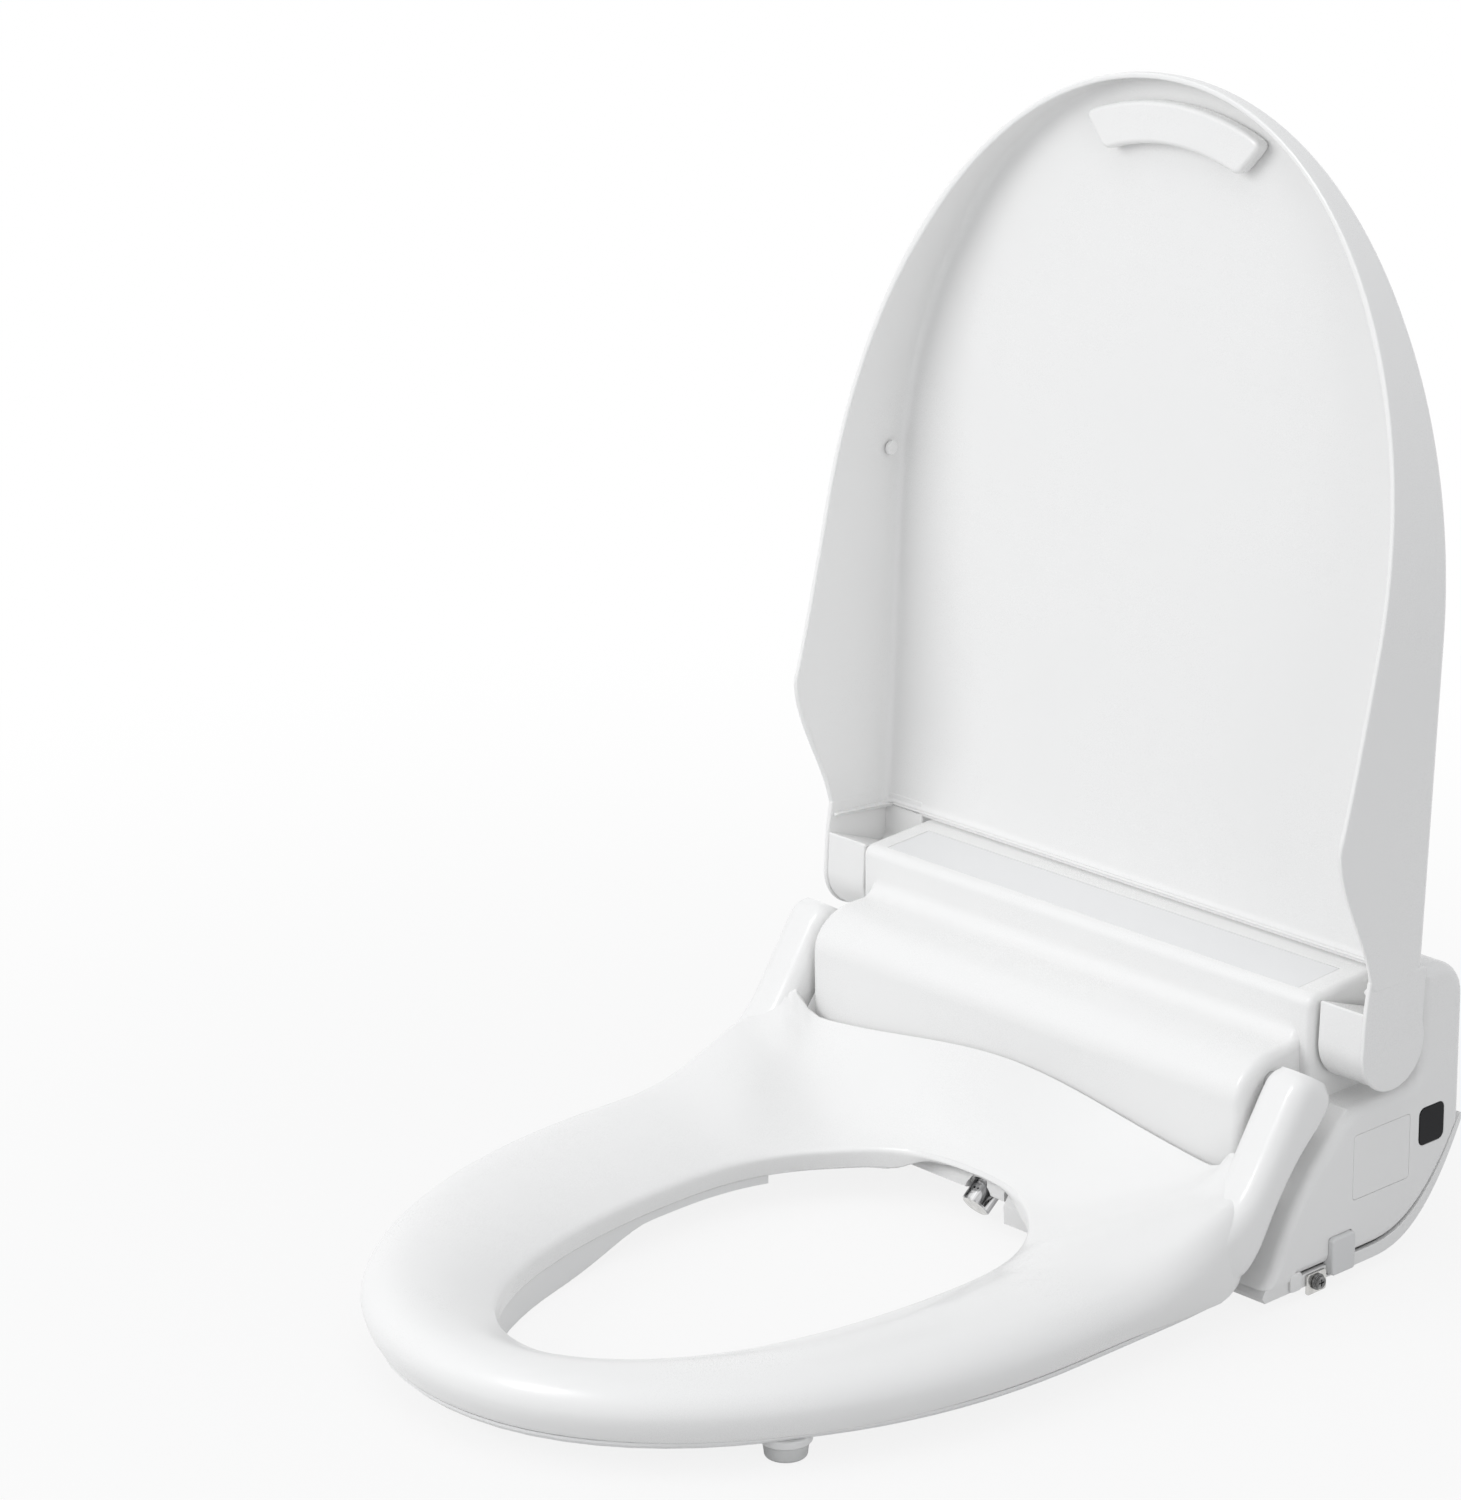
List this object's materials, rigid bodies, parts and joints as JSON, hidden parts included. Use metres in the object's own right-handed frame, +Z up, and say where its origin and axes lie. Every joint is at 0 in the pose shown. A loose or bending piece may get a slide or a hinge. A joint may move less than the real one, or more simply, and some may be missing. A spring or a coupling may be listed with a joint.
{
  "type": "bidet seat",
  "caption": "Electric bidet seat: ring seat and domed lid hinged on a rear housing with a sliding wash nozzle, warm air dryer, dampers and base plate.",
  "frame": {"origin": "midway between the two mounting bolts, on the bowl rim plane the bumpers rest on", "axes": "+Z up, the seat points to -Y, +X is the right hand of someone facing the seat's front"},
  "size_m": [0.378, 0.52, 0.5668],
  "materials": {
    "shell": "polished white",
    "seat": "high gloss white",
    "trim": "satin off white",
    "strip": "fine satin",
    "window": "smoked infrared window",
    "button": "satin light grey",
    "steel": "plain steel",
    "nozzle_metal": "polished",
    "inner": "moulded, unpolished",
    "fan": "moulded",
    "hose": "silicone",
    "board": "lacquered circuit board",
    "gland": "moulded",
    "heater": "foil",
    "foot": "soft white"
  },
  "bodies": {
    "housing": {"base_tray": "trim", "rear_cover": "shell", "top_strip": "strip", "side_panel": "shell", "sensor_window": "window", "earth_tab": "steel", "earth_screw": "steel", "drain_cap": "shell", "mounting_plate": "trim", "mount_sliders": "button", "nozzle_bay": "shell", "port_ring": "shell", "nozzle_guide": "inner", "nozzle_motor": "steel", "dryer_scroll": "inner", "dryer_motor": "steel", "dryer_duct": "inner", "water_heater": "steel", "water_inlet": "button", "inlet_valve": "inner", "diverter_valve": "inner", "inlet_hose": "hose", "warm_hose": "hose", "control_board": "board", "sensor_board": "board", "cord_gland": "gland", "seat_damper": "button", "lid_damper": "button"},
    "release": {"release_button": "button"},
    "nozzle": {"nozzle_chrome": "nozzle_metal", "nozzle_body": "inner"},
    "pinion": {"nozzle_pinion": "inner"},
    "fan": {"dryer_fan": "fan"},
    "flap": {"dryer_flap": "shell"},
    "seat": {"seat_shell": "seat", "seat_plate": "trim", "seat_heater": "heater", "bumper_collars": "shell", "bumper_feet": "foot", "seat_pins": "steel"},
    "lid": {"lid_shell": "shell", "lid_pad": "shell", "lid_nubs": "shell", "lid_pins": "steel"}
  },
  "joints": [
    {"name": "lid_hinge", "type": "hinge", "parent": "housing", "child": "lid", "pos_m": [0, -0.014, 0.121], "axis": [-1, 0, 0], "range_deg": [-104, 0]},
    {"name": "seat_hinge", "type": "hinge", "parent": "housing", "child": "seat", "pos_m": [0, -0.06, 0.105], "axis": [-1, 0, 0], "range_deg": [0, 110]},
    {"name": "nozzle_slide", "type": "slide", "parent": "housing", "child": "nozzle", "axis": [0, -0.7804, -0.6252], "range_m": [-0.012, 0.06]},
    {"name": "pinion_spin", "type": "hinge", "parent": "housing", "child": "pinion", "pos_m": [0, -0.02832, 0.09708], "axis": [1, 0, 0], "range_deg": [-492, 100]},
    {"name": "fan_spin", "type": "hinge", "parent": "housing", "child": "fan", "pos_m": [0.084, -0.022, 0.062], "axis": [1, 0, 0], "continuous": true},
    {"name": "flap_hinge", "type": "hinge", "parent": "housing", "child": "flap", "pos_m": [0.039, -0.1035, 0.0242], "axis": [-1, 0, 0], "range_deg": [0, 24]},
    {"name": "button_slide", "type": "slide", "parent": "housing", "child": "release", "axis": [-1, 0, 0], "range_m": [0, 0.003], "stiffness_N_per_m": 400, "springref_m": -0.002}
  ],
  "couplings": [
    {"joint": "pinion_spin", "follows": "nozzle_slide", "rad_per_m": -142.86}
  ]
}
